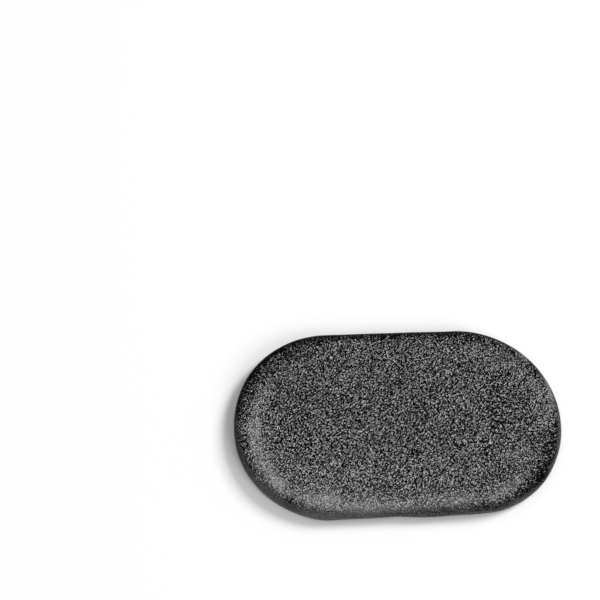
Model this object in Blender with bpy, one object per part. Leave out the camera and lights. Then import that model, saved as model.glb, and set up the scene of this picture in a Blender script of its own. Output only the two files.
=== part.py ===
"""An oval jewelry display pad, built as the real one is.

A stiff board carries a sheet of foam. Velvet is pulled over both, turned under
the board and glued there, and a thin card covers the turned-in hem. Lengths are
in metres, +Z is up, +X runs along the pad, and the origin is the middle of the
underside, on the surface that the pad lies on.
"""

from math import cos, pi, sin

import bmesh
import bpy

MM = 0.001

# Overall size, over the velvet
pad_length = 216 * MM
pad_width = 127 * MM

# Thickness of each layer
card_thickness = 0.8 * MM
velvet_thickness = 1.2 * MM
board_thickness = 3.0 * MM
foam_thickness = 4.6 * MM

# Clearance between two pieces that lie on each other
seat_gap = 0.3 * MM

# How the velvet rounds over the edge of the pad
shoulder_radius = 5.4 * MM
hem_corner_radius = 2.0 * MM

# How far the padding rises towards the middle, and how far in from the edge it stops rising
crown_height = 0.7 * MM
crown_reach = 34 * MM

# The hem, turned under the board, with V notches so that it lies flat round the ends
hem_width = 18 * MM
notch_inset = 9 * MM
notch_width = 1.6 * MM
notches_per_end = 9

# The card that hides the hem
card_margin = 6 * MM
card_edge_bevel = 0.25 * MM
board_edge_bevel = 0.5 * MM

# Steps that the round shapes are drawn with
end_steps = 28
side_steps = 4
shoulder_steps = 6
corner_steps = 3
crown_steps = 4

# Where each layer starts, from the underside up
hem_bottom = card_thickness + seat_gap
hem_top = hem_bottom + velvet_thickness
board_bottom = hem_top + seat_gap
board_top = board_bottom + board_thickness
foam_bottom = board_top + seat_gap
foam_edge_top = foam_bottom + foam_thickness
velvet_edge_top = foam_edge_top + seat_gap + velvet_thickness

# What the velvet encloses is this far in from its outer face
inside_velvet = velvet_thickness + seat_gap

end_radius = pad_width / 2
end_centre_x = pad_length / 2 - end_radius


def clear_scene():
    for thing in list(bpy.data.objects):
        bpy.data.objects.remove(thing)


def material(name, colour, roughness):
    """A plain Principled finish, none of it metal."""
    made = bpy.data.materials.new(name)
    made.use_nodes = True
    shader = made.node_tree.nodes["Principled BSDF"]
    shader.inputs["Base Color"].default_value = (*colour, 1)
    shader.inputs["Roughness"].default_value = roughness
    shader.inputs["Metallic"].default_value = 0
    return made


def oval(inset, z):
    """The pad's outline drawn smaller by inset, at height z, counterclockwise from above.

    It is two half circles and two straight sides. At an inset of end_radius it
    has shrunk to the line between the two ends' centres.
    """
    radius = end_radius - inset
    points = []
    for side, start in ((1, -pi / 2), (-1, pi / 2)):
        for step in range(end_steps + 1):
            angle = start + pi * step / end_steps
            x = side * end_centre_x + radius * cos(angle)
            points.append((x, radius * sin(angle), z))
        for step in range(1, side_steps):
            x = side * end_centre_x * (1 - 2 * step / side_steps)
            points.append((x, side * radius, z))
    return points


def arc(inset, z, radius, start, end, steps):
    """Points of a profile's arc about (inset, z). An angle of 0 points out of the pad, pi / 2 up."""
    turn = (end - start) / steps
    angles = [start + turn * step for step in range(steps + 1)]
    return [(inset - radius * cos(angle), z + radius * sin(angle)) for angle in angles]


def crown(edge_inset, edge_z):
    """The slow rise from the shoulder at edge_inset to the middle of the pad."""
    points = []
    for step in range(1, crown_steps + 1):
        share = step / crown_steps
        rise = crown_height * (1 - (1 - share) ** 2)
        inset = edge_inset + share * (crown_reach - edge_inset)
        points.append((inset, edge_z + rise))
    return [*points, (end_radius, edge_z + crown_height)]


def carry_round(name, profile, finish):
    """Carries a profile of (inset, z) points round the oval, bottom first, and returns the object."""
    mesh = bmesh.new()
    rings = [[mesh.verts.new(point) for point in oval(*corner)] for corner in profile]
    for lower, upper in zip(rings, rings[1:]):
        for i, vertex in enumerate(lower):
            mesh.faces.new((lower[i - 1], vertex, upper[i], upper[i - 1]))
    # A ring at the middle of the pad is doubled, and this joins its two sides
    bmesh.ops.remove_doubles(mesh, verts=mesh.verts, dist=1e-6)
    data = bpy.data.meshes.new(name)
    mesh.to_mesh(data)
    mesh.free()
    data.materials.append(finish)
    made = bpy.data.objects.new(name, data)
    bpy.context.scene.collection.objects.link(made)
    return made


def shade(thing, sharp_degrees=40):
    thing.data.shade_smooth()
    thing.data.set_sharp_from_angle(angle=sharp_degrees * pi / 180)


def plate(name, inset, bottom, thickness, edge_bevel, finish):
    """A flat oval plate with its two rims beveled."""
    top = bottom + thickness
    profile = [(end_radius, bottom), (inset, bottom), (inset, top), (end_radius, top)]
    made = carry_round(name, profile, finish)
    bevel = made.modifiers.new("rounded rims", "BEVEL")
    bevel.width = edge_bevel
    bevel.segments = 1
    bevel.limit_method = "ANGLE"
    bevel.angle_limit = pi / 3
    shade(made)
    return made


def foam(finish):
    """Foam cut flush with the board, its top rim pressed round by the velvet."""
    radius = shoulder_radius - inside_velvet
    rim_inset = inside_velvet + radius
    shoulder = arc(rim_inset, foam_edge_top - radius, radius, 0, pi / 2, shoulder_steps)
    underside = [(end_radius, foam_bottom), (inside_velvet, foam_bottom)]
    profile = [*underside, *shoulder, *crown(rim_inset, foam_edge_top)]
    made = carry_round("foam_padding", profile, finish)
    shade(made)
    return made


def notch_cutter():
    """Wedges that cut the V notches of the hem, and reach neither its outer edge nor the top."""
    mesh = bmesh.new()
    tip = end_radius - notch_inset
    hem_edge = end_radius - hem_width
    root = hem_edge - (tip - hem_edge)
    half_width = notch_width
    bottom = hem_bottom - velvet_thickness
    height = hem_top + seat_gap + board_thickness / 2 - bottom
    for side in (1, -1):
        for notch in range(notches_per_end):
            angle = pi * ((notch + 0.5) / notches_per_end - 0.5)
            along = (side * cos(angle), sin(angle))
            across = (-along[1], along[0])
            corners = []
            for radius, offset in ((tip, 0), (root, side * half_width), (root, -side * half_width)):
                x = side * end_centre_x + along[0] * radius + across[0] * offset
                corners.append(mesh.verts.new((x, along[1] * radius + across[1] * offset, bottom)))
            face = mesh.faces.new(corners)
            raised = bmesh.ops.extrude_face_region(mesh, geom=[face])["geom"]
            tops = [part for part in raised if isinstance(part, bmesh.types.BMVert)]
            bmesh.ops.translate(mesh, verts=tops, vec=(0, 0, height))
    bmesh.ops.recalc_face_normals(mesh, faces=mesh.faces)
    data = bpy.data.meshes.new("hem_notch_cutter")
    mesh.to_mesh(data)
    mesh.free()
    made = bpy.data.objects.new("hem_notch_cutter", data)
    bpy.context.scene.collection.objects.link(made)
    made.hide_render = True
    made.display_type = "WIRE"
    return made


def velvet(finish):
    """The velvet's outer face from the hem's edge round to the middle of the top, given its thickness."""
    corner_z = hem_bottom + hem_corner_radius
    corner = arc(hem_corner_radius, corner_z, hem_corner_radius, -pi / 2, 0, corner_steps)
    shoulder_z = velvet_edge_top - shoulder_radius
    shoulder = arc(shoulder_radius, shoulder_z, shoulder_radius, 0, pi / 2, shoulder_steps)
    hem = [(hem_width, hem_bottom)]
    profile = [*hem, *corner, *shoulder, *crown(shoulder_radius, velvet_edge_top)]
    made = carry_round("velvet_cover", profile, finish)
    cloth = made.modifiers.new("cloth thickness", "SOLIDIFY")
    cloth.thickness = velvet_thickness
    cloth.offset = -1
    cloth.use_even_offset = True
    cut = made.modifiers.new("hem notches", "BOOLEAN")
    cut.operation = "DIFFERENCE"
    cut.object = notch_cutter()
    shade(made)
    return made


def build():
    clear_scene()
    charcoal_velvet = material("charcoal velvet", (0.045, 0.045, 0.047), 0.95)
    grey_foam = material("grey foam", (0.32, 0.32, 0.33), 0.9)
    brown_board = material("brown hardboard", (0.23, 0.13, 0.07), 0.75)
    black_card = material("black card", (0.02, 0.02, 0.022), 0.7)
    plate("backing_card", card_margin, 0, card_thickness, card_edge_bevel, black_card)
    velvet(charcoal_velvet)
    plate("base_board", inside_velvet, board_bottom, board_thickness, board_edge_bevel, brown_board)
    foam(grey_foam)


build()
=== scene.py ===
# %% [markdown]
# # An oval velvet pad for showing jewelry
#
# The real pad is a stiff board with a sheet of foam on it. Velvet is pulled over both,
# turned under and glued, and a thin card hides the turned-in hem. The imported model
# already holds these four pieces at their true size. This lesson dresses them: the velvet
# and the foam get new surfaces, and the board and the card keep their shape and get a finish.
#
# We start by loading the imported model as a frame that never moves. Every new piece is made
# in the same metres and the same place, so nothing has to be fitted afterwards.

import bpy
import numpy as np
from mathutils import Matrix, Vector
from numpy.linalg import norm


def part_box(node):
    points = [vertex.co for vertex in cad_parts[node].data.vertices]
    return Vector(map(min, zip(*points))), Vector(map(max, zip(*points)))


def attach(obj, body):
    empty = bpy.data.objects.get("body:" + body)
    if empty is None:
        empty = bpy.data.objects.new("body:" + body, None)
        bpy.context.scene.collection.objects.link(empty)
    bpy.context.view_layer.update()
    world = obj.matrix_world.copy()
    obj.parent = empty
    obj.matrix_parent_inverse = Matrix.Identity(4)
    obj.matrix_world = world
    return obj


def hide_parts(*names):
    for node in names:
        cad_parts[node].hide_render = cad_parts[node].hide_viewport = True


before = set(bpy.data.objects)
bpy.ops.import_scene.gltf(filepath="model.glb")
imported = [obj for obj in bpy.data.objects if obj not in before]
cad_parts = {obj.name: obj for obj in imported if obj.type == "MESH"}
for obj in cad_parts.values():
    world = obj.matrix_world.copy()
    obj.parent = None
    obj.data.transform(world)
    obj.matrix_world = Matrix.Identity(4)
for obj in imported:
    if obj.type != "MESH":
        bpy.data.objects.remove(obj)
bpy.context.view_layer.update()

MM = 0.001
scene = bpy.context.scene
print("pieces of the frame:", ", ".join(sorted(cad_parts)))

# %% [markdown]
# ## The camera
#
# The camera is worked out from the picture, not placed by trial: the lens sees the pad from
# a steep slant, and the middle of its underside lands on a known pixel. The distance along
# the view and that pixel give the camera's place.

# %% Camera
image_pixels = 600
sensor_width = 36
lens_length = 52.9
view_steepness = np.radians(62.2)
view_swing = np.radians(-2.6)
view_roll = np.radians(0.6)
view_distance = 587 * MM
pad_pixel = (396.1, 423.7)


def camera_axes(steepness, swing, roll):
    """Right, up and backward directions of a camera that looks down by steepness.

    Backward is the unit vector at that height and compass angle. Right is level and
    square to it, and both right and up are then turned by roll about backward.
    """
    level = np.array([np.sin(swing), -np.cos(swing), 0]) * np.cos(steepness)
    backward = level + [0, 0, np.sin(steepness)]
    right = np.array([np.cos(swing), np.sin(swing), 0])
    up = np.cross(backward, right)
    rolled_right = np.cos(roll) * right + np.sin(roll) * up
    rolled_up = np.cos(roll) * up - np.sin(roll) * right
    return rolled_right, rolled_up, backward


right, up, backward = camera_axes(view_steepness, view_swing, view_roll)
focal_pixels = lens_length / sensor_width * image_pixels
pad_right = (pad_pixel[0] - image_pixels / 2) / focal_pixels * view_distance
pad_up = (image_pixels / 2 - pad_pixel[1]) / focal_pixels * view_distance
eye = view_distance * backward - pad_right * right - pad_up * up

camera_data = bpy.data.cameras.new("photo camera")
camera_data.lens = lens_length
camera_data.sensor_width = sensor_width
camera_data.clip_start = 10 * MM
camera = bpy.data.objects.new("photo camera", camera_data)
camera.matrix_world = Matrix.Translation(eye) @ Matrix(np.stack([right, up, backward], 1)).to_4x4()
scene.collection.objects.link(camera)
scene.camera = camera
print("camera at", [round(value / MM) for value in eye], "mm")

# %% [markdown]
# ## Lamps
#
# One large soft lamp stands to the right, a little behind the pad, so the shadow falls to
# the left and to the front. A weaker one from the front right opens the shadow in front of the
# pad and leaves the one at its left alone. One nearly overhead, a little to the left, gives
# the narrow soft shadow round the right end. All three stand far off, so that the floor is
# equally bright all over. A lamp's power is written as how bright it makes a white card that
# it shines straight at: power = brightness * pi^2 * distance^2.

# %% Lamps
scene.view_settings.view_transform = "Standard"


def soft_lamp(name, compass, height, distance, size, brightness):
    """A square lamp that looks at the pad from a compass angle and a height angle, in degrees."""
    turn, lift = np.radians(compass), np.radians(height)
    towards = Vector((np.cos(turn) * np.cos(lift), np.sin(turn) * np.cos(lift), np.sin(lift)))
    lamp_data = bpy.data.lights.new(name, "AREA")
    lamp_data.size = size
    lamp_data.energy = brightness * np.pi**2 * distance**2
    lamp = bpy.data.objects.new(name, lamp_data)
    lamp.location = towards * distance
    lamp.rotation_euler = towards.to_track_quat("Z", "Y").to_euler()
    scene.collection.objects.link(lamp)
    print(f"{name}: {lamp_data.energy:.0f} W")


soft_lamp("key lamp", compass=25, height=39.5, distance=8, size=2.9, brightness=0.67)
soft_lamp("fill lamp", compass=-50, height=35, distance=8, size=3.8, brightness=0.29)
soft_lamp("top lamp", compass=180, height=74, distance=8, size=2.9, brightness=0.07)

# %% [markdown]
# ## Room and floor
#
# The floor is pale and the room is dim. The camera alone sees both as white, so that they
# read as one clean background while the pad's shadow stays and no more light falls on the pad.
# That is done with shader nodes, and one helper makes each node and fills its inputs.

# %% Room and floor


def feed(tree, socket, value):
    """Gives a socket its value: a number, a colour, or another socket to be linked from."""
    if isinstance(value, bpy.types.NodeSocket):
        tree.links.new(value, socket)
    elif socket.type == "RGBA":
        socket.default_value = (*value, 1)
    else:
        socket.default_value = value


def add_node(tree, kind, inputs, **settings):
    """Makes a shader node, feeds its inputs by name or number, and returns its outputs."""
    node = tree.nodes.new("ShaderNode" + kind)
    for name, value in settings.items():
        setattr(node, name, value)
    for name, value in inputs.items():
        feed(tree, node.inputs[name], value)
    return node.outputs


def seen_as(owner, kind, output, plain, seen):
    """Gives a world or a material two shaders: plain for the light that bounces, seen for the camera."""
    owner.use_nodes = True
    tree = owner.node_tree
    tree.nodes.clear()
    first, second = [add_node(tree, kind, inputs)[0] for inputs in (plain, seen)]
    camera_ray = add_node(tree, "LightPath", {})["Is Camera Ray"]
    mixed = add_node(tree, "MixShader", {"Fac": camera_ray, 1: first, 2: second})[0]
    add_node(tree, output, {"Surface": mixed})


white = (1, 1, 1)
room, seen_room = {"Color": white, "Strength": 0.30}, {"Color": white, "Strength": 1.0}
paint, seen_paint = {"Color": (0.86, 0.86, 0.86)}, {"Color": (1.10, 1.10, 1.10)}
floor_size = 3.0

scene.world = bpy.data.worlds.new("studio")
seen_as(scene.world, "Background", "OutputWorld", room, seen_room)
pale_floor = bpy.data.materials.new("pale floor")
seen_as(pale_floor, "BsdfDiffuse", "OutputMaterial", paint, seen_paint)


def add_piece(name, points, faces):
    """Puts points, one row each, and a list of faces into a new mesh object."""
    mesh = bpy.data.meshes.new(name)
    mesh.from_pydata(points, [], faces)
    mesh.update()
    piece = bpy.data.objects.new(name, mesh)
    scene.collection.objects.link(piece)
    return piece


half = floor_size / 2
floor_corners = [(-half, -half, 0), (half, -half, 0), (half, half, 0), (-half, half, 0)]
floor = add_piece("floor", floor_corners, [(0, 1, 2, 3)])
floor.data.materials.append(pale_floor)
print(f"a floor {floor_size} m wide")

# %% [markdown]
# ## Measures of the pad
#
# The outline and the heights are read from the frame, so a pad of another size would be
# dressed by the same script. Only what the frame leaves plain is a value here: how thick the
# velvet is, how softly it rounds over the edge, and how far it is turned under.

# %% Measures
low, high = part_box("velvet_cover")
pad_radius = high.y
straight_half = high.x - high.y
crown_rise = 0.7 * MM
edge_height = high.z - crown_rise
hem_height = low.z

cloth_thickness = 1.2 * MM
shoulder_run = 6.5 * MM
shoulder_drop = 5.6 * MM
side_tuck = 0.4 * MM
hem_corner = 2.0 * MM
hem_start = side_tuck + hem_corner
hem_width = 18 * MM
face_radius = pad_radius - shoulder_run
print(f"oval of {high.x * 2 / MM:.0f} x {high.y * 2 / MM:.0f} mm, top at {high.z / MM:.1f} mm")

# %% [markdown]
# ## The top as a bent net
#
# An oval top could be made of rings that shrink towards the middle, but their cells grow
# thin there and every bump would show it. A square net that is bent into the oval keeps
# its cells nearly alike. Between the ends it stays straight. In each end the half square is
# bent to a half circle with x = u * sqrt(1 - v^2 / 2) and y = v * sqrt(1 - u^2 / 2), which
# sends the square's outer sides exactly onto the circle.

# %% The top's net
straight_share = straight_half / face_radius
hair = 1e-9


def face_net(columns, rows):
    """x and y of the top's net, as two arrays of rows + 1 lines with columns + 1 points each."""
    along = np.linspace(-1, 1, columns + 1) * (1 + straight_share)
    along, across = np.meshgrid(along, np.linspace(-1, 1, rows + 1))
    end = np.clip(np.abs(along) - straight_share, 0, 1)
    reach = np.minimum(np.abs(along), straight_share) + end * np.sqrt(1 - across**2 / 2)
    x = np.sign(along) * reach * face_radius
    y = across * np.sqrt(1 - end**2 / 2) * face_radius
    return x, y


def rim_loop(columns, rows):
    """Numbers of the net's outer points, once round, counterclockwise from above."""
    numbers = np.arange((rows + 1) * (columns + 1)).reshape(rows + 1, columns + 1)
    return np.concatenate([
        numbers[0, :-1], numbers[:-1, -1], numbers[-1, :0:-1], numbers[:0:-1, 0],
    ])


def from_middle(points, aside=0):
    """The nearest point of the pad's middle line, and the level direction away from it.

    Points that may lie on the middle line are first moved aside by a hair.
    """
    x, y = points[..., 0], points[..., 1] + aside
    spine = np.stack([np.clip(x, -straight_half, straight_half), np.zeros_like(x)], axis=-1)
    away = np.stack([x, y], axis=-1) - spine
    return spine, away / norm(away, axis=-1, keepdims=True)


print(f"straight for {2 * straight_half / MM:.0f} mm between two round ends")

# %% [markdown]
# ## The edge as a profile
#
# From the rim of the top outwards the velvet follows one section all round: a shoulder,
# which is a quarter of an ellipse, a side that tucks in slightly at the board, a small
# corner, and the hem. Each station of the section is a pair (inset, height), and the length
# of cloth from the rim to that station tells where it was on the flat velvet.

# %% The section of the edge
shoulder_rows, side_rows, corner_rows, hem_rows = 15, 6, 6, 6


def edge_section():
    """Inset and height at each station, from the top's rim to the edge of the hem.

    Shoulder: inset = run * (1 - cos a), height = foot + drop * sin a, for a from 90 to 0 degrees.
    Side: inset = tuck * share^2 on the way down. Corner: as the shoulder, for a from 0 to -90 degrees.
    """
    turn = np.linspace(np.pi / 2, 0, shoulder_rows + 1)
    foot = edge_height - shoulder_drop
    shoulder = np.stack([shoulder_run * (1 - np.cos(turn)), foot + shoulder_drop * np.sin(turn)], 1)
    down = np.linspace(0, 1, side_rows + 1)[1:]
    corner_top = hem_height + hem_corner
    side = np.stack([side_tuck * down**2, foot + (corner_top - foot) * down], 1)
    turn = np.linspace(0, -np.pi / 2, corner_rows + 1)[1:]
    corner_inset = side_tuck + hem_corner * (1 - np.cos(turn))
    corner = np.stack([corner_inset, corner_top + hem_corner * np.sin(turn)], 1)
    inward = np.linspace(0, 1, hem_rows + 1)[1:]
    hem = np.stack([hem_start + (hem_width - hem_start) * inward, np.full(hem_rows, hem_height)], 1)
    return np.concatenate([shoulder, side, corner, hem])


def section_normals(section):
    """The direction out of the cloth at each station: the section's own direction, turned a quarter."""
    forward = np.gradient(section, axis=0)
    forward /= norm(forward, axis=1, keepdims=True)
    return np.stack([forward[:, 1], -forward[:, 0]], 1)


section = edge_section()
steps = norm(np.diff(section, axis=0), axis=1)
cloth_run = np.concatenate([[0], np.cumsum(steps)])
print(f"{cloth_run[-1] / MM:.1f} mm of velvet from the top's rim to the edge of the hem")

# %% [markdown]
# ## Meshes from nets and rings
#
# No list of faces is written by hand. The point numbers form an array, and each face is a
# number with its three neighbours: four shifted copies of the array. A ring closes on itself,
# so there the copies are rolled round.

# %% Points and faces of the cover


def net_faces(columns, rows):
    """Quads of an open net, numbered line by line, with their normals up."""
    number = np.arange((rows + 1) * (columns + 1)).reshape(rows + 1, columns + 1)
    quads = [number[:-1, :-1], number[:-1, 1:], number[1:, 1:], number[1:, :-1]]
    return np.stack(quads, axis=-1).reshape(-1, 4)


def ring_faces(rings):
    """Quads between neighbouring rings. Each line of rings holds the point numbers of one ring."""
    onward = np.roll(rings, -1, axis=1)
    quads = [rings[:-1], rings[1:], onward[1:], onward[:-1]]
    return np.stack(quads, axis=-1).reshape(-1, 4)


def with_upward(level, upward):
    """Level pairs, ring by ring, with a third value that each ring has in common."""
    return np.concatenate([level, np.broadcast_to(upward[:, None, None], level.shape[:2] + (1,))], axis=-1)


def cover_points(columns, rows, stations):
    """The top's points, level at the edge's height, and the edge's, one ring for each station.

    A point of the edge is its spine point + outward * (pad radius - inset), at the station's height.
    """
    x, y = face_net(columns, rows)
    face = np.stack([x, y, np.full_like(x, edge_height)], axis=-1)
    rim = face.reshape(-1, 3)[rim_loop(columns, rows)]
    spine, outward = from_middle(rim)
    level = spine + outward * (pad_radius - stations[:, 0, None, None])
    return face, with_upward(level, stations[:, 1])


def stack_points(*parts):
    """The points of several arrays in one array, a line for each."""
    return np.concatenate([part.reshape(-1, part.shape[-1]) for part in parts])


def ring_numbers(columns, rows, ring_count):
    """Point numbers of the rings: the top's own rim first, then ring after ring behind the top's points."""
    rim = rim_loop(columns, rows)
    first = (rows + 1) * (columns + 1)
    later = first + np.arange((ring_count - 1) * rim.size).reshape(-1, rim.size)
    return np.concatenate([rim[None], later])


print("a net of two cells has the faces", net_faces(2, 1).tolist())

# %% [markdown]
# ## Velvet under tension, simulated
#
# Whoever covers such a pad pulls the velvet over the foam and glues the hem below. The
# foam pushes back, so the top crowns a little, and no two places are pulled equally hard.
# A cloth simulation gives both. It runs on a coarse copy: the hem is pinned, the foam is
# air pressure with a weak hold on every point, and the cloth shrinks by a share that
# wanders over the pad. Its movement is kept as an array, for the fine cloth.

# %% Simulate the coarse cover
coarse_columns, coarse_rows = 50, 28
station_step = 3
foam_pressure = 0.6
top_hold, shoulder_hold, side_hold, glue_hold = 0.1, 0.25, 0.8, 1.0
least_shrink, most_shrink = 0.0, 0.005
cloth_quality, point_mass = 8, 0.4
stretch_stiffness, bend_stiffness = 40, 2
tension_patch = 30 * MM
tension_levels = 12
simulated_frames = 20
most_movement = 0.8 * MM
least_length = 1e-12
lattice_size = 1024


def lattice_noise(points, pitch, seed):
    """Smooth random heights from -1 to 1 over flat points, alike on each run.

    Every corner of a square lattice has a random value. Between corners the values are
    blended by share^2 * (3 - 2 * share) along both sides of the cell.
    """
    corners = np.random.default_rng(seed).uniform(-1, 1, (lattice_size, lattice_size))
    cell = np.floor(points / pitch).astype(int)
    share = points / pitch - cell
    share = share**2 * (3 - 2 * share)
    column, row = cell[..., 0] % lattice_size, cell[..., 1] % lattice_size
    next_column, next_row = (column + 1) % lattice_size, (row + 1) % lattice_size
    near = corners[row, column] * (1 - share[..., 0]) + corners[row, next_column] * share[..., 0]
    far = corners[next_row, column] * (1 - share[..., 0]) + corners[next_row, next_column] * share[..., 0]
    return near * (1 - share[..., 1]) + far * share[..., 1]


def read_vectors(values, name, count):
    """A vector of each item of a mesh collection, as one array."""
    found = np.empty(count * 3, np.float32)
    values.foreach_get(name, found)
    return found.reshape(-1, 3)


def simulate(points, rings, ring_holds):
    """Lets the cover settle under the foam's push and returns how far each point moved."""
    faces = np.concatenate([net_faces(coarse_columns, coarse_rows), ring_faces(rings)])
    sheet = add_piece("cover_in_simulation", points, faces.tolist())
    held = sheet.vertex_groups.new(name="held")
    held.add(list(range(len(points))), top_hold, "REPLACE")
    for ring, hold in zip(rings, ring_holds):
        held.add(ring.tolist(), hold, "REPLACE")
    tension = sheet.vertex_groups.new(name="tension")
    pull = 0.5 + 0.5 * lattice_noise(points[:, :2], tension_patch, seed=4)
    level = np.round(pull * tension_levels).astype(int)
    for step in range(tension_levels + 1):
        tension.add(np.flatnonzero(level == step).tolist(), step / tension_levels, "REPLACE")

    cloth = sheet.modifiers.new("velvet", "CLOTH")
    settings = cloth.settings
    settings.quality = cloth_quality
    settings.mass = point_mass
    settings.tension_stiffness = settings.compression_stiffness = stretch_stiffness
    settings.bending_stiffness = bend_stiffness
    settings.vertex_group_mass = "held"
    settings.use_pressure = True
    settings.uniform_pressure_force = foam_pressure
    settings.vertex_group_shrink = "tension"
    settings.shrink_min, settings.shrink_max = least_shrink, most_shrink
    settings.effector_weights.gravity = 0
    cloth.collision_settings.use_collision = False
    for frame_number in range(1, simulated_frames + 1):
        scene.frame_set(frame_number)
    shaped = sheet.evaluated_get(bpy.context.evaluated_depsgraph_get()).data
    settled = read_vectors(shaped.vertices, "co", len(points))
    scene.frame_set(1)
    bpy.data.objects.remove(sheet)
    return settled - points


def soft_cap(movement, most):
    """Shortens each movement so that none passes most: its length becomes most * tanh(length / most)."""
    length = norm(movement, axis=1, keepdims=True) + least_length
    return movement / length * most * np.tanh(length / most)


coarse_stations = section[::station_step]
coarse_face, coarse_edge = cover_points(coarse_columns, coarse_rows, coarse_stations)
coarse_rings = ring_numbers(coarse_columns, coarse_rows, len(coarse_stations))
coarse_points = stack_points(coarse_face, coarse_edge[1:])
shoulder_rings = 1 + shoulder_rows // station_step
side_rings = side_rows // station_step - 1
glued_rings = 1 + (corner_rows + hem_rows) // station_step
ring_holds = [shoulder_hold] * shoulder_rings + [side_hold] * side_rings + [glue_hold] * glued_rings
movement = soft_cap(simulate(coarse_points, coarse_rings, ring_holds), most_movement)
longest = norm(movement, axis=1).max()
print(f"{len(coarse_points)} coarse points, moved by up to {longest / MM:.2f} mm")

# %% [markdown]
# ## From the coarse cloth to the fine one
#
# The fine cover has six cells along each side of a coarse one, small enough to hold the pile.
# Its points follow the same two formulas, so the simulated movement only has to be filled in
# between the coarse points. One matrix of cubic weights does that along each direction of the
# net, and the cloth stays smooth where straight lines from point to point would show as facets.
#
# A covered edge is never quite true either: it bulges where the cloth is slack and is drawn in
# where it is tight. That wander is a third of a millimetre of seeded noise along the outline,
# with a few places pulled one by one, and it fades out over the shoulder.

# %% Carry the movement over
fine_step = 6
edge_wander, wander_pitch = 0.3 * MM, 17 * MM
edge_pulls = [
    # x and y on the outline in mm, half length along it, and how far outwards
    (-6, -63, 9, -0.5),
    (-53, -63, 11, 0.7),
    (15, -63, 11, 0.7),
    (50, -63, 8, -0.6),
    (86, -48, 20, 0.7),
]
fine_columns, fine_rows = coarse_columns * fine_step, coarse_rows * fine_step


def fill_weights(count, step, closed=False):
    """Weights that carry count coarse values to all points between them, one line for each point.

    At share t between the second and the third of four neighbours the weights are those of a
    Catmull-Rom cubic. At an open end the outermost value stands in for the missing neighbour.
    """
    place = np.arange(count * step if closed else (count - 1) * step + 1) / step
    cell = np.floor(place).astype(int) if closed else np.minimum(place.astype(int), count - 2)
    t = place - cell
    cubic = [-t + 2 * t**2 - t**3, 2 - 5 * t**2 + 3 * t**3, t + 4 * t**2 - 3 * t**3, t**3 - t**2]
    weights = np.zeros((place.size, count))
    for neighbour, share in enumerate(cubic):
        index = cell + neighbour - 1
        index = index % count if closed else np.clip(index, 0, count - 1)
        np.add.at(weights, (np.arange(place.size), index), share / 2)
    return weights


def carry(values, down, across):
    """Values on a coarse net, filled in along both directions by their matrices of weights."""
    return np.einsum("ai,bj,ijk->abk", down, across, values, optimize=True)


def bell(distance, width):
    """1 in the middle, and exp(-(distance / width)^2) beside it."""
    return np.exp(-((distance / width) ** 2))


face_count = coarse_face[..., 0].size
face_movement = movement[:face_count].reshape(coarse_face.shape)
loop_size = coarse_rings.shape[1]
edge_movement = movement[coarse_rings.ravel()].reshape(-1, loop_size, 3)

across_weights = fill_weights(coarse_columns + 1, fine_step)
face_movement = carry(face_movement, fill_weights(coarse_rows + 1, fine_step), across_weights)
round_weights = fill_weights(loop_size, fine_step, closed=True)
edge_movement = carry(edge_movement, fill_weights(len(coarse_stations), station_step), round_weights)

face, edge = cover_points(fine_columns, fine_rows, section)
spine, outward = from_middle(edge[0])
face += face_movement

pull = edge_wander * lattice_noise(edge[0, :, :2], wander_pitch, seed=8)
for x, y, half_length, outwards in edge_pulls:
    aside = norm(edge[shoulder_rows, :, :2] / MM - [x, y], axis=1)
    pull += outwards * MM * bell(aside, half_length)
reach = np.clip(np.arange(len(section)) / shoulder_rows, 0, 1) ** 2
edge[..., :2] += (reach[:, None] * pull)[..., None] * outward

rim_gap = face.reshape(-1, 3)[rim_loop(fine_columns, fine_rows)] - (edge + edge_movement)[0]
fade = np.clip(1 - np.arange(len(section)) / shoulder_rows, 0, 1)
edge += edge_movement + rim_gap * fade[:, None, None]
print(f"fine net of {face.shape[0]} x {face.shape[1]} points and {edge.shape[0]} rings of {edge.shape[1]}")

# %% [markdown]
# ## Notches and pleats of the hem
#
# Round the ends the turned-in velvet has to cover a shorter way than it did when flat. The
# maker cuts V notches into it, and what is left over lies in small pleats. A notch moves the
# hem's edge outwards, most at its middle. A pleat lifts the cloth along its own normal, by
# a wave in the angle round the end that fades out up the side and along the straight sides.

# %% Hem of the cover
notches_per_end = 9
notch_inset = 9 * MM
notch_half_width = 0.9 * MM
pleats_per_end = 22
pleat_height = 0.28 * MM
pleat_spread = 0.45
pleat_wander, pleat_pitch = 26 * MM, 1.3 * MM
pleat_fade = 2.5
hem_pleat_share = 0.6

turn = np.arctan2(outward[:, 1], np.abs(outward[:, 0]))


def notch_depth(turn):
    """How far each notch moves the hem's edge: a V over the distance from the nearest notch's middle."""
    place = (turn / np.pi + 0.5) * notches_per_end - 0.5
    nearest = np.clip(np.round(place), 0, notches_per_end - 1)
    aside = np.abs(place - nearest) * np.pi / notches_per_end * (pad_radius - hem_width)
    return (hem_width - notch_inset) * np.clip(1 - aside / notch_half_width, 0, 1)


def pleat_wave(turn, outward):
    """Rounded ridges from 0 to 1 over the angle, each of its own height, and none on the straight sides."""
    ridge = (0.5 + 0.5 * np.cos(2 * pleats_per_end * turn)) ** 2
    own = 1 - pleat_spread + pleat_spread * lattice_noise(outward * pleat_wander, pleat_pitch, seed=11)
    return ridge * own * np.clip(pleat_fade * np.cos(turn), 0, 1)


hem_share = np.clip((section[:, 0] - hem_start) / (hem_width - hem_start), 0, 1)
hem_share[:shoulder_rows] = 0
edge[..., :2] += (hem_share[:, None] * notch_depth(turn))[..., None] * outward

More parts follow.
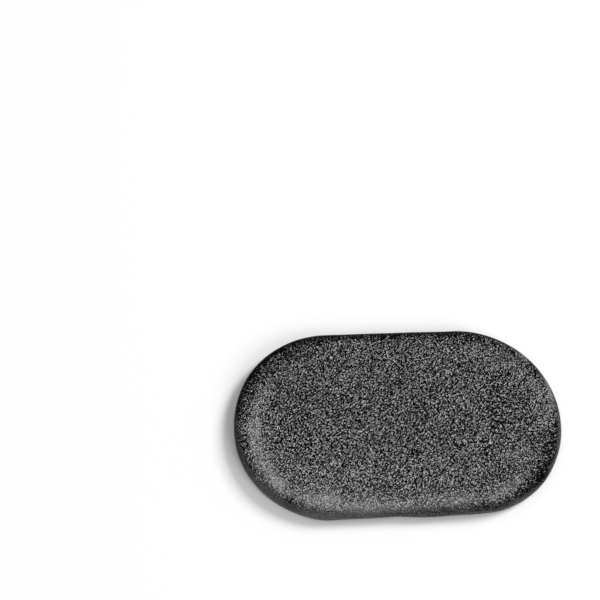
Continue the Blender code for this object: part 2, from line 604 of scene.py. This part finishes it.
normals = section_normals(section)
edge_normals = with_upward(-normals[:, 0, None, None] * outward, normals[:, 1])
down_the_side = np.linspace(0, 1, side_rows + corner_rows) ** 2
pleat_share = np.concatenate([
    np.zeros(shoulder_rows + 1), down_the_side, np.full(hem_rows, hem_pleat_share),
])
edge += (pleat_share[:, None] * pleat_wave(turn, outward) * pleat_height)[..., None] * edge_normals
print(f"{2 * notches_per_end} notches and {2 * pleats_per_end} pleats")

# %% [markdown]
# ## The inner side of the velvet
#
# Cloth has a thickness, and a mesh that is to be measured has to be closed. The inner side
# is the outer one moved in along its normals, with fewer rows. Its last ring is drawn
# together on the pad's middle line, where points that fall on each other get one number.

# %% Inner side of the cover
inner_rings = 4


def inner_side(edge, edge_normals, spine):
    """Rings from the hem's edge back up to the top, then in to the middle line.

    Inner point = outer point - thickness * normal. The way in rises by 1 - (1 - share)^2.
    """
    lined = (edge - cloth_thickness * edge_normals)[::-station_step]
    middle_height = edge_height + crown_rise - cloth_thickness
    middle = np.concatenate([spine, np.full((len(spine), 1), middle_height)], axis=1)
    share = np.linspace(0, 1, inner_rings + 1)[1:, None, None]
    roof = lined[-1] + (middle - lined[-1]) * share
    roof[..., 2] = lined[-1, :, 2] + (middle_height - lined[-1, :, 2]) * (1 - (1 - share[..., 0]) ** 2)
    return np.concatenate([lined, roof])


def merge_last_ring(rings, last):
    """Gives points of the last ring that share a place one number, and says how many are left."""
    _, first, same = np.unique(np.round(last / MM, 3), axis=0, return_index=True, return_inverse=True)
    rings[-1] = rings[-1, 0] + same.ravel()
    return last[first]


def closed_faces(columns, rows, rings):
    """The net's quads and the rings' quads, and triangles where the last ring is folded together."""
    around = ring_faces(rings)
    folded = around[:, 1] == around[:, 2]
    quads = np.concatenate([net_faces(columns, rows), around[~folded]])
    return quads.tolist() + around[folded][:, [0, 1, 3]].tolist()


inner = inner_side(edge, edge_normals, spine)
rings = ring_numbers(fine_columns, fine_rows, len(edge) + len(inner))
middle_line = merge_last_ring(rings, inner[-1])
cover_all = stack_points(face, edge[1:], inner[:-1], middle_line)
cover_faces = closed_faces(fine_columns, fine_rows, rings)
cover = add_piece("velvet_cover_cloth", cover_all, cover_faces)
triangles = sum(len(corners) - 2 for corners in cover_faces)
print(f"velvet cover: {len(cover_all)} points, {triangles} triangles")

# %% [markdown]
# ## The flat cut as a map
#
# A weave or a pile belongs to the cloth and turns with it over the edge. So the cover gets a
# UV map that is its flat cut: the top keeps its x and y, and each station of the edge lies as
# far outside the rim as there is cloth up to it. One unit of the map is one metre of velvet.

# %% Flat cut of the cover


def flat_cut():
    """Where each point was on the flat velvet: spine point + outward * length of cloth from there."""
    run = face_radius + cloth_run
    outer = spine + outward * run[:, None, None]
    lining = spine + outward * run[::-station_step][:, None, None]
    roof = spine + outward * np.linspace(face_radius, 0, inner_rings + 1)[1:-1, None, None]
    top = np.stack(face_net(fine_columns, fine_rows), axis=-1)
    return stack_points(top, outer[1:], lining, roof, middle_line[:, :2])


def write_uv(piece, name, places):
    """Gives every face corner the place of its point."""
    corner_points = np.empty(len(piece.data.loops), np.int32)
    piece.data.loops.foreach_get("vertex_index", corner_points)
    layer = piece.data.uv_layers.new(name=name)
    layer.uv.foreach_set("vector", places[corner_points].astype(np.float32).ravel())


flat = flat_cut()
write_uv(cover, "cloth", flat)
print("flat cut of", np.round(np.ptp(flat, axis=0) / MM).astype(int), "mm")

# %% [markdown]
# ## The pile
#
# Velvet is a field of short upright threads, bunched in tufts less than a millimetre apart.
# The net is that fine, so each of its points is one tuft with a random height of its own, and
# seeded noise on the flat cut gathers them into clumps. The heights are added along the
# normals. They go into an attribute too, because a tuft's tip catches the light and the gap
# beside it stays dark. On the side of the pad the threads are seen from beside, which closes
# the gaps, so most of the contrast is gone there, and along the near rim the pile leans, which
# takes a part of it.

# %% Pile of the cover
pile_depth = 0.20 * MM
tuft_part, clump_part = 0.88, 0.12
clump_pitch = 1.7 * MM
plain_pile, pile_contrast = 0.46, 1.40
side_calm = 0.88
near_calm, near_calm_reach = 0.34, 26 * MM
near_crowding, far_crowding = 0.13, 0.05
most_pile = 1.5
threads = np.random.default_rng(21)


def edge_share(flat):
    """0 on the top, rising over the upper half of the shoulder to 1 on the side and the hem."""
    middle, _ = from_middle(flat, hair)
    run = norm(flat - middle, axis=1) - face_radius
    return np.interp(run, [0, cloth_run[shoulder_rows // 2]], [0, 1])


def near_share(flat):
    """1 at the pad's near edge, falling inwards as a bell curve, and 0 on its far half."""
    middle, away = from_middle(flat, hair)
    inset = pad_radius - norm(flat - middle, axis=1)
    return np.clip(-away[:, 1], 0, 1) * bell(inset, near_calm_reach)


def tuft_heights(lines, columns):
    """A random height round 0 for each point of a net.

    Height = own random value - near crowding * (sum of the 4 values beside it) - far crowding *
    (sum of the 12 values two points away), so that a high tuft has lower ones round it, as
    where threads push each other aside.
    """
    own = threads.uniform(-1, 1, (lines, columns))
    height = own.copy()
    for down in range(-2, 3):
        for across in range(-2, 3):
            away = down**2 + across**2
            crowding = near_crowding if away == 1 else far_crowding if 4 <= away <= 5 else 0
            height -= crowding * np.roll(own, (down, across), axis=(0, 1))
    return height


tufts = np.zeros(len(flat))
outer_tufts = [tuft_heights(*face.shape[:2]).ravel(), tuft_heights(len(edge) - 1, edge.shape[1]).ravel()]
outer_count = sum(part.size for part in outer_tufts)
tufts[:outer_count] = np.concatenate(outer_tufts)
clumps = lattice_noise(flat, clump_pitch, seed=22)
pile = tuft_part * tufts + clump_part * clumps
has_pile = np.arange(len(flat)) < outer_count

on_side = edge_share(flat)
cover_normals = read_vectors(cover.data.vertex_normals, "vector", len(flat))
relief = pile * pile_depth * has_pile * (1 - side_calm * on_side)
raised = cover_all + cover_normals * relief[:, None]
cover.data.vertices.foreach_set("co", raised.astype(np.float32).ravel())
cover.data.update()
cover.data.shade_smooth()


def write_attribute(piece, name, values):
    """Stores one number for each point of the piece."""
    attribute = piece.data.attributes.new(name, "FLOAT", "POINT")
    attribute.data.foreach_set("value", values.astype(np.float32))


pile_tone = np.clip(plain_pile + pile_contrast * pile, 0, most_pile)
contrast = 1 - side_calm * on_side - near_calm * near_share(flat) * (1 - on_side)
write_attribute(cover, "pile", pile_tone * contrast)
print(f"pile relief of {np.ptp(pile) * pile_depth / MM:.2f} mm")

# %% [markdown]
# ## The nap, and painted light and shade
#
# Brushed one way, a pile shows the sides of its threads and looks lighter; brushed the other
# way, it is looked into and looks dark. Wide patches of nap wander over the top, and a few
# spots are pressed flat. Beside the nap, the attribute holds painted light and shade: a
# painted light band along the near rim and a painted shaded band round the far shoulder,
# with a thin painted highlight on the outermost threads, a painted glow and lift along the
# near edge and a painted lighter tone on the side. Some of the spots are painted light and
# shade too. All of it is one attribute: 0.5 is the plain tone, more is lighter.
#
# The bands are listed for some directions round the pad and are filled in between them. A
# direction is an angle seen from the middle of the pad, with the pad squeezed to a circle.

# %% Nap and painted light of the cover
# Painted light and painted shade round the rim, listed by direction.
rim_light_and_shade = np.array([
    # direction, painted light band: inset, width, strength, painted shaded band: inset, width, strength,
    # painted highlight line
    (-180, 13.0, 6.5, 0.20, 5.5, 3.0, 0.12, 0.0),
    (-160, 12.0, 6.0, 0.15, 5.0, 3.0, 0.05, 0.0),
    (-140, 9.5, 4.0, 0.12, 3.0, 2.5, 0.05, 0.0),
    (-120, 8.0, 4.0, 0.06, 2.5, 2.6, 0.10, 0.0),
    (-103, 5.5, 3.2, 0.08, 1.0, 1.7, 0.07, 0.0),
    (-77, 7.5, 4.0, 0.06, 1.5, 2.0, 0.12, 0.0),
    (-60, 8.0, 4.0, 0.05, 2.0, 2.5, 0.13, 0.0),
    (-40, 10.5, 3.0, 0.08, 5.4, 3.4, 0.16, 0.0),
    (-20, 10.0, 3.0, 0.00, 7.5, 4.0, 0.20, 0.0),
    (0, 10.0, 6.0, 0.09, 5.2, 1.6, 0.08, 0.05),
    (20, 9.5, 4.0, 0.12, 6.0, 1.4, 0.09, 0.10),
    (40, 16.0, 5.0, 0.05, 8.5, 3.5, 0.12, 0.15),
    (60, 16.0, 5.0, 0.00, 5.3, 3.4, 0.30, 0.22),
    (75, 16.0, 5.0, 0.00, 4.4, 2.6, 0.30, 0.28),
    (105, 16.0, 5.0, 0.00, 4.2, 3.0, 0.26, 0.28),
    (140, 16.0, 5.0, 0.00, 5.5, 7.5, 0.28, 0.28),
    (160, 15.0, 6.0, 0.14, 5.5, 4.0, 0.28, 0.18),
    (180, 13.0, 6.5, 0.21, 5.5, 2.8, 0.12, 0.0),
])
# Painted highlight: the thin light line on the outermost threads.
highlight_line_inset, highlight_line_width = 0.75, 0.45
# Painted light: the side of the pad is made lighter by this tone.
painted_side_light = 0.340
top_gain = 1.8
# Painted light: a lighter glow and lift along the pad's near edge.
near_painted_glow, near_painted_glow_reach = 0.115, 40
near_painted_lift = 0.055
patch_strength, patch_squeeze = 0.05, np.array([1, 0.45])
wide_patches, wide_pitch = 0.75, 12 * MM
small_patches, small_pitch = 0.25, 5 * MM
plain_tone, most_tone = 0.5, 1.5
shade_end_rows = [shoulder_rows - 3, shoulder_rows + 2]
# Some spots are pressed pile; the rest are painted light and painted shade.
brushed_and_painted_spots = [
    # x, y, half length along x and along y in mm, and how much lighter, or darker if below 0
    (98, -19, 3, 8, -0.14),
    (94, -30, 3, 5, -0.10),
    (87, -40, 5, 6, -0.27),
    (77, -50, 5, 3, -0.12),
    (89, -16, 4, 4, -0.05),
    (-72, 51, 12, 7, -0.20),
    (-88, 38, 6, 8, -0.13),
    (42, -12, 2.5, 14, -0.09),
    (34, -30, 3, 7, -0.06),
    (64, -3, 6, 6, -0.08),
    (-60, -12, 3.5, 12, -0.09),
    (-8, 20, 12, 10, -0.02),
    (-8, 2, 26, 18, -0.03),
    (46, 56, 8, 4, -0.14),
    (60, 44, 9, 6, 0.05),
    (95, 12, 8, 10, 0.04),
    (76, -26, 7, 6, 0.04),
    (64, -50, 9, 4, 0.05),
    (-93, -6, 5, 12, 0.05),
    (-79, -41, 7, 5, 0.05),
    (-48, -52, 9, 4, 0.07),
    (102.5, 14, 2, 16, 0.20),
    (89, 41, 5, 4, 0.12),
]


def nap_and_painted_light(flat):
    """Plain tone + gain * (painted light band - painted shaded band + painted glow + painted lift + patches
    + spots) + painted highlight line + painted side light.

    The inset of a point is its distance in from the pad's edge, and on the shoulder the one
    that the section has after as much cloth. Every band is a bell curve of the inset. The
    gain is top_gain on the top, where the gaps stay black and only the tips can change, and
    falls to 1 on the side. The shaded band ends at the far edge.
    """
    middle, away = from_middle(flat, hair)
    radius = norm(flat - middle, axis=1)
    shoulder = slice(shoulder_rows + 1)
    on_shoulder = np.interp(radius, face_radius + cloth_run[shoulder], section[shoulder, 0])
    inset = np.where(radius < face_radius, pad_radius - radius, on_shoulder) / MM
    direction = np.degrees(np.arctan2(flat[:, 1] / high.y, flat[:, 0] / high.x))
    columns = [np.interp(direction, rim_light_and_shade[:, 0], column) for column in rim_light_and_shade[:, 1:].T]
    light_inset, light_width, light, dark_inset, dark_width, dark, line = columns
    past_edge = np.interp(radius - face_radius, cloth_run[shade_end_rows], [0, 1])
    far_side = np.clip(2 * away[:, 1], 0, 1)
    dark *= 1 - past_edge * far_side
    tone = light * bell(inset - light_inset, light_width) - dark * bell(inset - dark_inset, dark_width)
    tone += near_painted_glow * np.clip(-away[:, 1], 0, 1) * bell(inset, near_painted_glow_reach)
    squeezed = flat * patch_squeeze
    patches = wide_patches * lattice_noise(squeezed, wide_pitch, seed=31)
    patches += small_patches * lattice_noise(squeezed, small_pitch, seed=32)
    tone += patch_strength * patches
    for x, y, along, across, strength in brushed_and_painted_spots:
        aside = np.hypot((flat[:, 0] / MM - x) / along, (flat[:, 1] / MM - y) / across)
        tone += strength * bell(aside, 1)
    on_side = edge_share(flat)
    tone += near_painted_lift * near_share(flat) * (1 - on_side)
    tone *= top_gain + (1 - top_gain) * on_side
    tone += plain_tone + line * bell(inset - highlight_line_inset, highlight_line_width) + painted_side_light * on_side
    return np.clip(tone, 0, most_tone)


nap_and_light = nap_and_painted_light(flat)
write_attribute(cover, "nap_and_light", nap_and_light)
print(f"nap from {nap_and_light.min():.2f} to {nap_and_light.max():.2f}")

# %% [markdown]
# ## Brush strokes and lint
#
# Brushing also drags the threads, so in one place they point one way and in the next another.
# The grain is drawn on a second copy of the flat cut, in which smooth noise has shifted every
# point a little. Where the shift changes fast, the grain is pulled out in that direction.
# Velvet picks up lint as well, a few pale specks, and single tufts are lightened, partly by loose
# dust and partly as painted glints.

# %% Brush strokes, lint and painted glints of the cover
brush_shift, brush_pitch = 1.8 * MM, 9 * MM
lint_radius = 0.45 * MM
dust_and_glint_share, least_dust_and_glint, most_dust_and_glint = 0.010, 0.45, 1.0
lint_specks = [(-1, 42), (29, 34), (-43, 21), (41, 15), (85, -11), (-59, 34), (-83, -38)]


def brushed(flat):
    """The flat cut + shift * noise, with a noise of its own for each direction."""
    drag = [lattice_noise(flat, brush_pitch, seed=seed) for seed in (41, 42)]
    return flat + brush_shift * np.stack(drag, axis=1)


def lint_share(flat):
    """1 at the middle of each speck, falling as a bell curve. The highest speck counts."""
    aside = [norm(flat - np.array(speck) * MM, axis=1) for speck in lint_specks]
    return bell(np.min(aside, axis=0), lint_radius)


write_uv(cover, "brushed cloth", brushed(flat))
lint_and_glints = lint_share(flat)
# Painted glints and loose dust: a share of single tufts made lighter.
dust_and_glints = threads.random(len(flat)) < dust_and_glint_share
lint_and_glints[dust_and_glints] += threads.uniform(least_dust_and_glint, most_dust_and_glint, dust_and_glints.sum()) * (1 - on_side[dust_and_glints])
write_attribute(cover, "lint_and_glints", np.clip(lint_and_glints, 0, 1))
print(len(lint_specks), "specks of lint,", dust_and_glints.sum(), "dusty tufts")

# %% [markdown]
# ## One grain for all finishes
#
# Pile, foam, hardboard and card each have a fine grain, at another size and strength. One
# node group makes it: it stretches the place, reads a noise there and sharpens it. The group
# only puts out a mask and a height. Each material places it with its own values.

# %% Shader group for grain
grain_detail, grain_roughness = 1, 0.6
middle_mask = 0.5


def add_math(tree, operation, *values, clamp=False):
    """The result of a Math node. Its values are numbers or sockets."""
    return add_node(tree, "Math", dict(enumerate(values)), operation=operation, use_clamp=clamp)[0]


def grain_group():
    """Group with Place, Scale, Stretch and Sharpness in, and Mask and Height out.

    Mask = 0.5 + (noise - 0.5) * sharpness, kept from 0 to 1. Height is the plain noise.
    """
    group = bpy.data.node_groups.new("fine grain", "ShaderNodeTree")
    kinds = {"Place": "Vector", "Scale": "Float", "Stretch": "Vector", "Sharpness": "Float"}
    for name, kind in kinds.items():
        group.interface.new_socket(name, in_out="INPUT", socket_type="NodeSocket" + kind)
    for name in ("Mask", "Height"):
        group.interface.new_socket(name, in_out="OUTPUT", socket_type="NodeSocketFloat")
    enter = group.nodes.new("NodeGroupInput").outputs
    leave = group.nodes.new("NodeGroupOutput").inputs
    stretched = add_node(group, "VectorMath", {0: enter["Place"], 1: enter["Stretch"]}, operation="MULTIPLY")
    noise = {"Vector": stretched["Vector"], "Scale": enter["Scale"], "Detail": grain_detail}
    height = add_node(group, "TexNoise", {**noise, "Roughness": grain_roughness})["Fac"]
    centred = add_math(group, "SUBTRACT", height, middle_mask)
    mask = add_math(group, "MULTIPLY_ADD", centred, enter["Sharpness"], middle_mask, clamp=True)
    feed(group, leave["Mask"], mask)
    feed(group, leave["Height"], height)
    return group


fine_grain = grain_group()


def add_grain(tree, scale, sharpness, stretch=(1, 1, 1), place=None):
    """The outputs of the grain group, with grains about 1 / scale metres wide.

    It is read at place, or on Object coordinates, which are metres on the piece.
    """
    place = place or add_node(tree, "TexCoord", {})["Object"]
    inputs = {"Place": place, "Scale": scale, "Stretch": stretch, "Sharpness": sharpness}
    return add_node(tree, "Group", inputs, node_tree=fine_grain)


def finish(name, roughness, specular):
    """A new material, its node tree and its Principled shader."""
    made = bpy.data.materials.new(name)
    made.use_nodes = True
    shader = made.node_tree.nodes["Principled BSDF"]
    shader.inputs["Roughness"].default_value = roughness
    shader.inputs["Specular IOR Level"].default_value = specular
    return made, made.node_tree, shader


def mix_colours(tree, share, first, second):
    """The colour between two, at a share that a socket gives."""
    mix = tree.nodes.new("ShaderNodeMix")
    mix.data_type = "RGBA"
    feed(tree, mix.inputs["Factor"], share)
    ends = [socket for socket in mix.inputs if socket.type == "RGBA"]
    for end, colour in zip(ends, (first, second)):
        feed(tree, end, colour)
    return next(socket for socket in mix.outputs if socket.type == "RGBA")


def dress(tree, shader, colour, height, depth):
    """Gives the shader its colour and the bump of a height socket, depth metres from low to high."""
    bump = add_node(tree, "Bump", {"Distance": depth, "Height": height})
    feed(tree, shader.inputs["Normal"], bump["Normal"])
    feed(tree, shader.inputs["Base Color"], colour)


print("sockets of the grain group:", ", ".join(item.name for item in fine_grain.interface.items_tree))

# %% [markdown]
# ## Velvet
#
# Three things make velvet here: painted shade that keeps the gaps between the threads nearly
# black, painted light that makes the tips much lighter, and a sheen that grows where the surface
# turns away. The tips come from the pile attribute, a finer grain and small random cells together,
# and the nap and painted light attribute moves both tones up and down. From a low angle the threads
# hide the gaps behind them, so the gaps' painted shade is lifted where the surface turns away, and
# that lift is a painted sheen as well. The sheen sits on the shader's own sockets.

# %% Velvet material
# Painted shade: the gaps' colour. Painted light: the tips' colour. The glance colour lifts the gaps' painted
# shade where the surface turns away, partly as a painted sheen.
shaded_gap_colour = (0.002, 0.002, 0.0023)
glance_colour = (0.075, 0.075, 0.077)
first_glance, full_glance, most_glance = 0.45, 0.90, 0.8
lit_tip_colour = (0.60, 0.60, 0.61)
# Lint and painted glints are this pale colour.
lint_and_glint_colour = (0.90, 0.90, 0.88)
thread_grain = {"scale": 2000.0, "sharpness": 7.0, "stretch": (1, 0.75, 1)}
thread_depth = 0.25 * MM
tuft_scale, least_tuft = 1700.0, -1.4
plain_nap_and_light = 0.784
sheen, sheen_roughness = 0.3, 0.2


def read_map(tree, name):
    """A point's place on one of the piece's UV maps."""
    return add_node(tree, "UVMap", {}, uv_map=name)["UV"]


def read_attribute(tree, name):
    """The number that the piece stores for a point."""
    return add_node(tree, "Attribute", {}, attribute_name=name)["Fac"]


def glance_share(tree):
    """0 where the surface faces the view, rising to most_glance where it turns away."""
    facing = add_node(tree, "LayerWeight", {})["Facing"]
    limits = {"From Min": first_glance, "From Max": full_glance, "To Max": most_glance}
    return add_node(tree, "MapRange", {"Value": facing, **limits})["Result"]


def velvet_material():
    """Colour = painted shaded gap to painted lit tip by (fibre mask * tuft * pile + nap and painted light -
    plain level), with lint and painted glints over it.

    Tuft is a random value for each small cell of the cloth, from least_tuft to 2 - least_tuft. The
    gap's painted shade is lifted where the surface turns away, partly as a painted sheen. Bump = fibre
    grain.
    """
    made, tree, shader = finish("charcoal velvet", roughness=0.95, specular=0.03)
    shader.inputs["Sheen Weight"].default_value = sheen
    shader.inputs["Sheen Roughness"].default_value = sheen_roughness
    fibres = add_grain(tree, **thread_grain, place=read_map(tree, "brushed cloth"))
    places = {"Vector": read_map(tree, "cloth"), "Scale": tuft_scale}
    cells = add_node(tree, "TexVoronoi", places, voronoi_dimensions="2D")
    tuft = add_math(tree, "MULTIPLY_ADD", cells["Color"], 2 * (1 - least_tuft), least_tuft)
    tufted = add_math(tree, "MULTIPLY", fibres["Mask"], tuft)
    tone = add_math(tree, "SUBTRACT", read_attribute(tree, "nap_and_light"), plain_nap_and_light)
    tips = add_math(tree, "MULTIPLY_ADD", tufted, read_attribute(tree, "pile"), tone, clamp=True)
    gaps = mix_colours(tree, glance_share(tree), shaded_gap_colour, glance_colour)
    velvet = mix_colours(tree, tips, gaps, lit_tip_colour)
    colour = mix_colours(tree, read_attribute(tree, "lint_and_glints"), velvet, lint_and_glint_colour)
    dress(tree, shader, colour, fibres["Height"], thread_depth)
    return made


cover.data.materials.append(velvet_material())
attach(cover, "root")
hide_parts("velvet_cover")
print("velvet on", cover.name)

# %% [markdown]
# ## The foam under the velvet
#
# The foam is cut flush with the board, and the velvet presses its upper rim round. Its top is
# every third point of the cover's net, lowered by the cloth and a small clearance, so it
# bulges where the velvet does. The shoulder is the cover's own shoulder moved in along its
# normals, and straight below it the foam is cut off flat.

# %% Foam
seat_gap = 0.3 * MM
foam_step = 3
foam_bottom = 5.9 * MM
foam_lining = cloth_thickness + seat_gap
foam_sharp_angle = np.radians(40)


def foam_points():
    """Top, and rings: shoulder, cut edge, halfway in and the middle line of the underside.

    Top = the lower of the cover's face - lining and the inner side's rise - clearance, where the
    rise counts as no lower than the level face - lining.
    """
    top = face[::foam_step, ::foam_step] - [0, 0, foam_lining]
    centre, _ = from_middle(top, hair)
    share = 1 - norm(top[..., :2] - centre, axis=-1) / face_radius
    roof = edge_height + crown_rise * (1 - (1 - share) ** 2) - cloth_thickness - 2 * seat_gap
    top[..., 2] = np.minimum(top[..., 2], np.maximum(roof, edge_height - foam_lining))
    shoulder = (edge - foam_lining * edge_normals)[:shoulder_rows + 1:foam_step, ::foam_step]
    shoulder[0] = top.reshape(-1, 3)[rim_loop(top.shape[1] - 1, top.shape[0] - 1)]
    cut_edge = shoulder[-1].copy()
    cut_edge[:, 2] = foam_bottom
    middle = np.concatenate([spine[::foam_step], np.full((len(cut_edge), 1), foam_bottom)], axis=1)
    halfway = (cut_edge + middle) / 2
    return top, np.concatenate([shoulder, cut_edge[None], halfway[None], middle[None]])


foam_top, foam_rings = foam_points()
foam_columns, foam_rows = foam_top.shape[1] - 1, foam_top.shape[0] - 1
foam_numbers = ring_numbers(foam_columns, foam_rows, len(foam_rings))
foam_middle = merge_last_ring(foam_numbers, foam_rings[-1])
foam_faces = closed_faces(foam_columns, foam_rows, foam_numbers)
foam_all = stack_points(foam_top, foam_rings[1:-1], foam_middle)
foam = add_piece("foam_padding_sheet", foam_all, foam_faces)
foam.data.shade_smooth()
foam.data.set_sharp_from_angle(angle=foam_sharp_angle)
print(f"foam: {len(foam_all)} points, {len(foam_faces)} faces")

# %% [markdown]
# ## Foam, board and card
#
# The three pieces below the velvet are finished with the same grain group. Foam is full of
# small open cells, darker than the walls between them. Hardboard is pressed brown fibre, so
# its grain is long and low, and a second, coarser one gives it flecks. The card is black and
# lightly embossed, which shows in its gloss more than in its colour.

# %% Foam, board and card materials
cell_grain, cell_depth = {"scale": 1100.0, "sharpness": 4.0}, 0.5 * MM
cell_colour, wall_colour = (0.16, 0.16, 0.165), (0.40, 0.40, 0.41)
fibre_grain, fibre_depth = {"scale": 700.0, "sharpness": 2.5, "stretch": (0.3, 1, 1)}, 0.08 * MM
dark_fibre, light_fibre = (0.15, 0.078, 0.038), (0.30, 0.18, 0.10)
fleck_grain = {"scale": 260.0, "sharpness": 5.0, "stretch": (0.5, 1, 1)}
fleck_colour = (0.17, 0.09, 0.045)
emboss_grain, emboss_depth = {"scale": 900.0, "sharpness": 2.0}, 0.12 * MM
dark_card, light_card = (0.012, 0.012, 0.014), (0.030, 0.030, 0.033)
card_roughness, emboss_roughness = 0.5, 0.25


def foam_material():
    """Colour = dark cell to pale wall by the grain. Bump = the cells."""
    made, tree, shader = finish("grey foam", roughness=0.9, specular=0.2)
    cells = add_grain(tree, **cell_grain)
    colour = mix_colours(tree, cells["Mask"], cell_colour, wall_colour)
    dress(tree, shader, colour, cells["Height"], cell_depth)
    return made


def board_material():
    """Colour = dark to light fibre, then darker flecks over it. Bump = the fibre."""
    made, tree, shader = finish("brown hardboard", roughness=0.75, specular=0.3)
    fibre = add_grain(tree, **fibre_grain)
    fleck = add_grain(tree, **fleck_grain)
    wood = mix_colours(tree, fibre["Mask"], dark_fibre, light_fibre)
    colour = mix_colours(tree, fleck["Mask"], fleck_colour, wood)
    dress(tree, shader, colour, fibre["Height"], fibre_depth)
    return made


def card_material():
    """Nearly even black, with the emboss in the roughness and in the bump."""
    made, tree, shader = finish("black card", card_roughness, specular=0.4)
    emboss = add_grain(tree, **emboss_grain)
    colour = mix_colours(tree, emboss["Mask"], dark_card, light_card)
    gloss = add_math(tree, "MULTIPLY_ADD", emboss["Mask"], emboss_roughness, card_roughness)
    feed(tree, shader.inputs["Roughness"], gloss)
    dress(tree, shader, colour, emboss["Height"], emboss_depth)
    return made


foam.data.materials.append(foam_material())
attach(foam, "root")
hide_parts("foam_padding")
for node, made in (("base_board", board_material()), ("backing_card", card_material())):
    for material_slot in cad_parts[node].material_slots:
        material_slot.material = made
    print(node, "is finished as", made.name)
